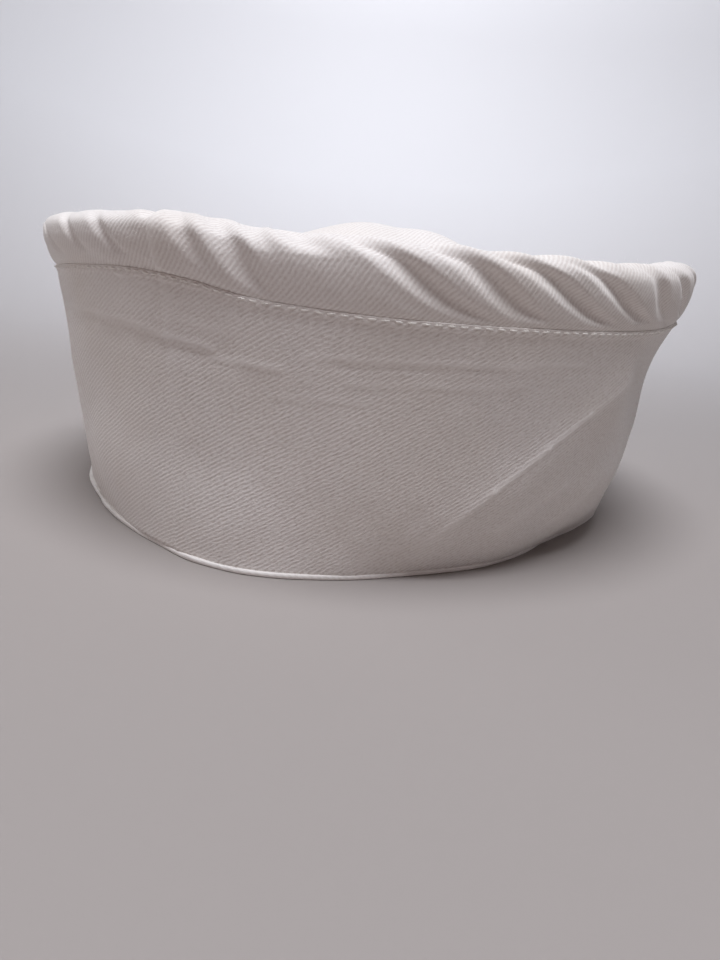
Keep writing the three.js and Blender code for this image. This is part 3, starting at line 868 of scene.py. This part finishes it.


# White cotton twill, woven 2 up 1 down: matt and a little fuzzy, with slanted ribs of floating threads
# about 1.1 mm apart. Starch and washing leave the wall's ribs broken into short pebbly floats, while
# the rim and the top keep theirs even. Noise stretched along the ribs stands for the floats.
# In each kind, the last share is how far painted shade darkens the grooves of its weave.
twillKinds = {
    "wall": {"rib": 1.02, "slant": 32, "float": 1.2, "even": 0.45, "crest": 1.5, "grain": 0.6,
             "depth": 0.14, "waver": 0.16, "grooveShadeShare": 0.62},
    "rim": {"rib": 1.14, "slant": 56, "float": 0.9, "even": 0.55, "crest": 1.2, "grain": 0.35,
            "depth": 0.085, "waver": 0.1, "grooveShadeShare": 0.48},
    "top": {"rib": 1.14, "slant": 63, "float": 0.9, "even": 0.5, "crest": 1.0, "grain": 0.35,
            "depth": 0.085, "waver": 0.1, "grooveShadeShare": 0.5},
}
# Colours of the twill's threads, of the painted shade in its grooves and of its aged patches
twillColours = {"thread": "f5f2ef", "groove": "b9aba4", "aged": "ece6de"}
# Sizes of the twill's finer marks, as noise scales on metres: ribs wander over 5 mm, fibres show at
# half a millimetre, drawn that coarse so that they show at all, and washing leaves soft patches of 4 cm.
# Where the pale mask is full, the cloth keeps these shares of its bump and of its painted groove shade.
twillMarks = {"wander": 210, "fibre": 1900, "patch": 26, "pressedFlat": 0.3, "grooveShadeKept": 0.1}


# Twill: a cosine across the ribs mixed with noise drawn out along them gives the weave, whose relief
# makes the bump and paints shade into the grooves. Where the pale mask is up, the cloth is flatter and
# holds less painted groove shade, partly pressed cloth and partly painted highlight, and patches look aged.
def twillMaterial(name, kind):
    look, marks = twillKinds[kind], twillMarks
    material = bpy.data.materials.new(name)
    material.use_nodes = True
    tree = material.node_tree
    tree.nodes.clear()
    objectPlace = addNode(tree, "ShaderNodeTexCoord").outputs["Object"]
    if kind == "top":
        cloth = addNode(tree, "ShaderNodeVectorMath", {0: objectPlace, "Scale": 1000}, operation="SCALE")
    else:
        cloth = addNode(tree, "ShaderNodeUVMap", uv_map="clothMm")
    slant = math.radians(look["slant"])
    ribWay = (math.sin(slant) / look["rib"], -math.cos(slant) / look["rib"], 0)
    floatWay = (math.cos(slant) / look["float"], math.sin(slant) / look["float"], 0)
    straight = addNode(tree, "ShaderNodeVectorMath", {0: cloth, 1: ribWay}, operation="DOT_PRODUCT")
    along = addNode(tree, "ShaderNodeVectorMath", {0: cloth, 1: floatWay}, operation="DOT_PRODUCT")
    wander = addNode(
        tree, "ShaderNodeTexNoise", {"Vector": objectPlace, "Scale": marks["wander"], "Detail": 2})
    across = addNode(
        tree, "ShaderNodeMath", {0: wander, 1: look["waver"] * 4, 2: straight.outputs["Value"]},
        operation="MULTIPLY_ADD")
    phase = addNode(tree, "ShaderNodeMath", {0: across, 1: 2 * math.pi}, operation="MULTIPLY")
    wave = addNode(tree, "ShaderNodeMath", {0: phase}, operation="COSINE")
    rib = addNode(tree, "ShaderNodeMapRange", {0: wave, 1: -1.0})
    rib = addNode(tree, "ShaderNodeMath", {0: rib, 1: look["crest"]}, operation="POWER")
    floatPlace = addNode(tree, "ShaderNodeCombineXYZ", {0: across, 1: along.outputs["Value"]})
    floatPlace = addNode(
        tree, "ShaderNodeVectorMath", {0: floatPlace, 1: (2.1, 1, 1)}, operation="MULTIPLY")
    floats = addNode(tree, "ShaderNodeTexNoise", {"Vector": floatPlace, "Scale": 1.0, "Detail": 2})
    floats = addNode(tree, "ShaderNodeMapRange", {0: floats, 1: 0.3, 2: 0.7})
    weave = addNode(tree, "ShaderNodeMix", {0: look["even"], 2: floats, 3: rib}, data_type="FLOAT")
    grain = addNode(
        tree, "ShaderNodeTexNoise", {"Vector": objectPlace, "Scale": marks["fibre"], "Detail": 2})
    relief = addNode(
        tree, "ShaderNodeMath", {0: grain, 1: look["grain"], 2: weave}, operation="MULTIPLY_ADD")
    # Pale mask, partly pressed cloth and partly painted highlight: it flattens the bump and lifts the
    # painted groove shade
    pressedAndHighlit = addNode(tree, "ShaderNodeAttribute", attribute_name="pressedAndHighlit").outputs["Fac"]
    flatter = addNode(tree, "ShaderNodeMapRange", {0: pressedAndHighlit, 3: 1.0, 4: marks["pressedFlat"]})
    bumpNode = addNode(
        tree, "ShaderNodeBump", {"Height": relief, "Distance": look["depth"] * mm, "Strength": flatter})
    soft = addNode(
        tree, "ShaderNodeTexNoise", {"Vector": objectPlace, "Scale": marks["patch"], "Detail": 3})
    aged = addNode(tree, "ShaderNodeMapRange", {0: soft, 1: 0.42, 2: 0.72, 4: 0.45})
    thread, agedThread = linearColour(twillColours["thread"]), linearColour(twillColours["aged"])
    clean = addNode(tree, "ShaderNodeMix", {0: aged, 6: thread, 7: agedThread}, data_type="RGBA")
    # Painted shade: the grooves of the weave are darkened towards the groove colour, less so under the pale
    # mask
    grooveShadeMask = addNode(tree, "ShaderNodeMapRange", {0: relief, 1: 0.1, 2: 0.95, 3: look["grooveShadeShare"], 4: 0.0})
    kept = addNode(tree, "ShaderNodeMapRange", {0: pressedAndHighlit, 3: 1.0, 4: marks["grooveShadeKept"]})
    grooveShadeMask = addNode(tree, "ShaderNodeMath", {0: grooveShadeMask, 1: kept}, operation="MULTIPLY")
    colour = addNode(
        tree, "ShaderNodeMix", {0: grooveShadeMask, 6: clean.outputs[2], 7: linearColour(twillColours["groove"])},
        data_type="RGBA").outputs[2]
    roughness = addNode(tree, "ShaderNodeMapRange", {0: grain, 1: 0.2, 2: 0.8, 3: 0.82, 4: 0.94})
    shader = addNode(tree, "ShaderNodeBsdfPrincipled", {
        "Base Color": colour, "Roughness": roughness, "Normal": bumpNode, "IOR": 1.5,
        "Specular IOR Level": 0.25, "Sheen Weight": 0.2, "Sheen Roughness": 0.45})
    addNode(tree, "ShaderNodeOutputMaterial", {"Surface": shader})
    return material


# Cotton thread and narrow cotton tape: whiter and a little glossier than the twill, with slanted
# strands at the scale named twist and a bump depth in mm
def threadMaterial(name, twist, depth, colourHex):
    material = bpy.data.materials.new(name)
    material.use_nodes = True
    tree = material.node_tree
    tree.nodes.clear()
    place = addNode(tree, "ShaderNodeTexCoord").outputs["Object"]
    strands = addNode(
        tree, "ShaderNodeTexWave", {"Vector": place, "Scale": twist, "Distortion": 3, "Detail": 2},
        bands_direction="DIAGONAL")
    soft = addNode(tree, "ShaderNodeTexNoise", {"Vector": place, "Scale": 260, "Detail": 3})
    relief = addNode(
        tree, "ShaderNodeMath", {0: soft, 1: 0.7, 2: strands.outputs[1]}, operation="MULTIPLY_ADD")
    bumpNode = addNode(tree, "ShaderNodeBump", {"Height": relief, "Distance": depth * mm, "Strength": 0.8})
    shade = addNode(tree, "ShaderNodeMapRange", {0: soft, 1: 0.3, 2: 0.7, 3: 0.12, 4: 0.0})
    thread, groove = linearColour(colourHex), linearColour(twillColours["groove"])
    colour = addNode(tree, "ShaderNodeMix", {0: shade, 6: thread, 7: groove}, data_type="RGBA").outputs[2]
    shader = addNode(tree, "ShaderNodeBsdfPrincipled", {
        "Base Color": colour, "Roughness": 0.7, "Normal": bumpNode, "IOR": 1.5,
        "Specular IOR Level": 0.35, "Sheen Weight": 0.2, "Sheen Roughness": 0.4})
    addNode(tree, "ShaderNodeOutputMaterial", {"Surface": shader})
    return material


sideWall.data.materials.append(twillMaterial("starchedCottonTwill", "wall"))
rimStrip.data.materials.append(twillMaterial("gatheredCottonTwill", "rim"))
roundTop.data.materials.append(twillMaterial("flatCottonTwill", "top"))
# The edging and the sewing thread are whiter than the twill's thread, partly their own colour and partly
# painted highlight for thread that catches the overhead light
hemEdging.data.materials.append(threadMaterial("rolledCottonEdging", 300, 0.06, "faf8f5"))
stitches.data.materials.append(threadMaterial("cottonSewingThread", 700, 0.05, "fffdf8"))
fibres.data.materials.append(threadMaterial("looseCottonFibre", 900, 0.01, "fdfcfa"))

for piece, node, slot in (
    (sideWall, "side_wall", "white_twill"),
    (rimStrip, "rim_strip", "white_twill"),
    (roundTop, "round_top", "white_twill"),
    (hemEdging, "hem_edging", "white_edging"),
):
    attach(piece, "root")
    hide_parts(node)
for piece in (stitches, fibres):
    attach(piece, "root")

# The wall is one bent band of doubled twill, the rim strip is cut a tenth longer than the rim and gathered,
# and the round top is a disc with its seam turned under
print("materials set")

# Studio: a round pale floor that curves up all round into a paler backdrop, with painted shade on the
# side behind the camera, soft lights and the camera. Lengths are in metres.
studio = {
    "innerRadius": 0.2,
    "floorRadius": 0.55,
    "curveRadius": 0.4,
    "height": 1.5,
    "columns": 96,
    "curveRings": 25,
    "floorColour": "a8a29f",
    "backdropColour": "d2d2d4",
    "frontShadeColour": "837d7a",
    "paleHeight": 0.9,  # height at which the floor's colour has turned into the backdrop's paler, painted-light colour
    "paleTilt": 0.8,  # share of the distance behind the cap that counts as height for this
    "frontShadeStart": -0.25,  # place along Y where the painted shade of the room's dim side starts, behind the camera
    "frontShadeEnd": -0.9,
    "roomColour": "f0e9e4",
    "ambient": 0.048,
}


# Floor and backdrop: a profile turned once round, flat to the curve, a quarter circle, then upright.
# Painted paper, matt and faintly toothed: the floor's colour turns paler up the back of the room, painted
# light where the wash falls brighter, and darker on the side behind the camera, painted shade.
def makeBackdrop():
    s = studio
    turn = np.linspace(0, math.pi / 2, s["curveRings"])
    curve = s["floorRadius"] + s["curveRadius"] * np.sin(turn)[1:]
    radius = np.concatenate([[s["innerRadius"], s["floorRadius"]], curve, curve[-1:]])
    height = np.concatenate([[0, 0], s["curveRadius"] * (1 - np.cos(turn))[1:], [s["height"]]])
    azimuth = np.radians(np.arange(s["columns"]) * 360 / s["columns"])[None, :]
    rings = np.stack([radius[:, None] * np.sin(azimuth), -radius[:, None] * np.cos(azimuth),
                      height[:, None] + 0 * azimuth], -1)
    points = np.concatenate([[[0, 0, 0]], rings.reshape(-1, 3)])
    i, j = np.meshgrid(np.arange(len(radius) - 1), np.arange(s["columns"]), indexing="ij")
    after = (j + 1) % s["columns"]
    corners = [(i, j), (i + 1, j), (i + 1, after), (i, after)]
    faces = np.stack([1 + a * s["columns"] + b for a, b in corners], -1).reshape(-1, 4).tolist()
    column = np.arange(s["columns"])
    faces += np.stack([0 * column, 1 + column, 1 + (column + 1) % s["columns"]], -1).tolist()
    backdrop = meshObject("paleBackdrop", points, faces)
    material = bpy.data.materials.new("paintedPaperBackdrop")
    material.use_nodes = True
    tree = material.node_tree
    tree.nodes.clear()
    place = addNode(tree, "ShaderNodeTexCoord").outputs["Object"]
    parts = addNode(tree, "ShaderNodeSeparateXYZ", {0: place})
    # Painted light: the colour turns paler up and towards the back, where the wash falls brighter
    level = addNode(
        tree, "ShaderNodeMath", {0: parts.outputs[1], 1: s["paleTilt"], 2: parts.outputs[2]},
        operation="MULTIPLY_ADD")
    pale = addNode(tree, "ShaderNodeMapRange", {0: level, 2: s["paleHeight"]})
    # Painted shade on the side behind the camera, where the room is dim
    frontShade = addNode(
        tree, "ShaderNodeMapRange", {0: parts.outputs[1], 1: s["frontShadeStart"], 2: s["frontShadeEnd"]},
        interpolation_type="SMOOTHSTEP")
    floorColour, backdropColour = linearColour(s["floorColour"]), linearColour(s["backdropColour"])
    bright = addNode(tree, "ShaderNodeMix", {0: pale, 6: floorColour, 7: backdropColour}, data_type="RGBA")
    colour = addNode(
        tree, "ShaderNodeMix", {0: frontShade, 6: bright.outputs[2], 7: linearColour(s["frontShadeColour"])},
        data_type="RGBA").outputs[2]
    tooth = addNode(tree, "ShaderNodeTexNoise", {"Vector": place, "Scale": 900, "Detail": 3})
    bumpNode = addNode(tree, "ShaderNodeBump", {"Height": tooth, "Distance": 0.05 * mm, "Strength": 0.4})
    shader = addNode(tree, "ShaderNodeBsdfPrincipled", {
        "Base Color": colour, "Roughness": 0.9, "Normal": bumpNode, "Specular IOR Level": 0.2})
    addNode(tree, "ShaderNodeOutputMaterial", {"Surface": shader})
    backdrop.data.materials.append(material)


# Soft lights: place, what each looks at, size and power, spread in degrees and colour
lights = {
    "windowAbove": {"place": (0, -0.27, 0.93), "aim": (0, 0, 0.09), "size": 0.5, "power": 7.7,
                    "spread": 170, "colour": "f8f9ff"},
    "windowLeft": {"place": (-0.8, 0.25, 0.35), "aim": (0, 0, 0.04), "size": 0.4, "power": 0.38,
                   "spread": 125, "colour": "fdf9f6"},
    "roomFront": {"place": (-0.2, -0.83, 0.11), "aim": (0, 0, 0.03), "size": 0.5, "power": 0.17,
                  "spread": 140, "colour": "ff7a44"},
    "backdropWash": {"place": (0, 0.3, 1.15), "aim": (0, 0.95, 0.45), "size": 0.3, "power": 3.7,
                     "spread": 100, "colour": "f6f8ff"},
}


# Lights: a soft disc for each row, turned so that its face looks at its aim, and an even room light
def makeLights():
    for name, light in lights.items():
        data = bpy.data.lights.new(name, "AREA")
        data.shape = "DISK"
        data.size = light["size"]
        data.energy = light["power"]
        data.spread = math.radians(light["spread"])
        data.color = linearColour(light["colour"])[:3]
        lamp = bpy.data.objects.new(name, data)
        lamp.location = light["place"]
        towards = Vector(light["aim"]) - Vector(light["place"])
        lamp.rotation_euler = towards.to_track_quat("-Z", "Y").to_euler()
        bpy.context.scene.collection.objects.link(lamp)
    world = bpy.data.worlds.new("softRoom")
    world.use_nodes = True
    background = world.node_tree.nodes["Background"]
    background.inputs[0].default_value = linearColour(studio["roomColour"])
    background.inputs[1].default_value = studio["ambient"]
    bpy.context.scene.world = world


# Camera in front of the cap, a little below the rim's top, looking down and rolled as held by hand:
# mm, degrees and pixels
cameraPlace = {
    "distance": 273,
    "height": 81,
    "pitch": 16.3,
    "yaw": 0.6,
    "roll": 4.9,
    "focalPixels": 750,
    "longSidePixels": 960,
    "sensorMm": 36,
    "nearestView": 0.01,
    "furthestView": 50,
}


# Camera: turned right by yaw, down by pitch and round its own axis by roll, with the lens that gives the
# focal length in pixels
def makeCamera():
    c = cameraPlace
    pitch, yaw, roll = (math.radians(c[key]) for key in ("pitch", "yaw", "roll"))
    ahead = Vector((math.sin(yaw) * math.cos(pitch), math.cos(yaw) * math.cos(pitch), -math.sin(pitch)))
    level = Vector((math.cos(yaw), -math.sin(yaw), 0))
    upright = level.cross(ahead)
    right = level * math.cos(roll) + upright * math.sin(roll)
    up = upright * math.cos(roll) - level * math.sin(roll)
    data = bpy.data.cameras.new("photoCamera")
    data.sensor_width = c["sensorMm"]
    data.lens = c["focalPixels"] * data.sensor_width / c["longSidePixels"]
    data.clip_start, data.clip_end = c["nearestView"], c["furthestView"]
    camera = bpy.data.objects.new("photoCamera", data)
    turn = Matrix((right, up, -ahead)).transposed().to_4x4()
    place = Vector(axisPlace) + Vector((0, -c["distance"] * mm, c["height"] * mm))
    camera.matrix_world = Matrix.Translation(place) @ turn
    bpy.context.scene.collection.objects.link(camera)
    bpy.context.scene.camera = camera


makeBackdrop()
makeLights()
makeCamera()
bpy.context.scene.view_settings.view_transform = "Standard"
bpy.context.view_layer.update()
print("studio set")
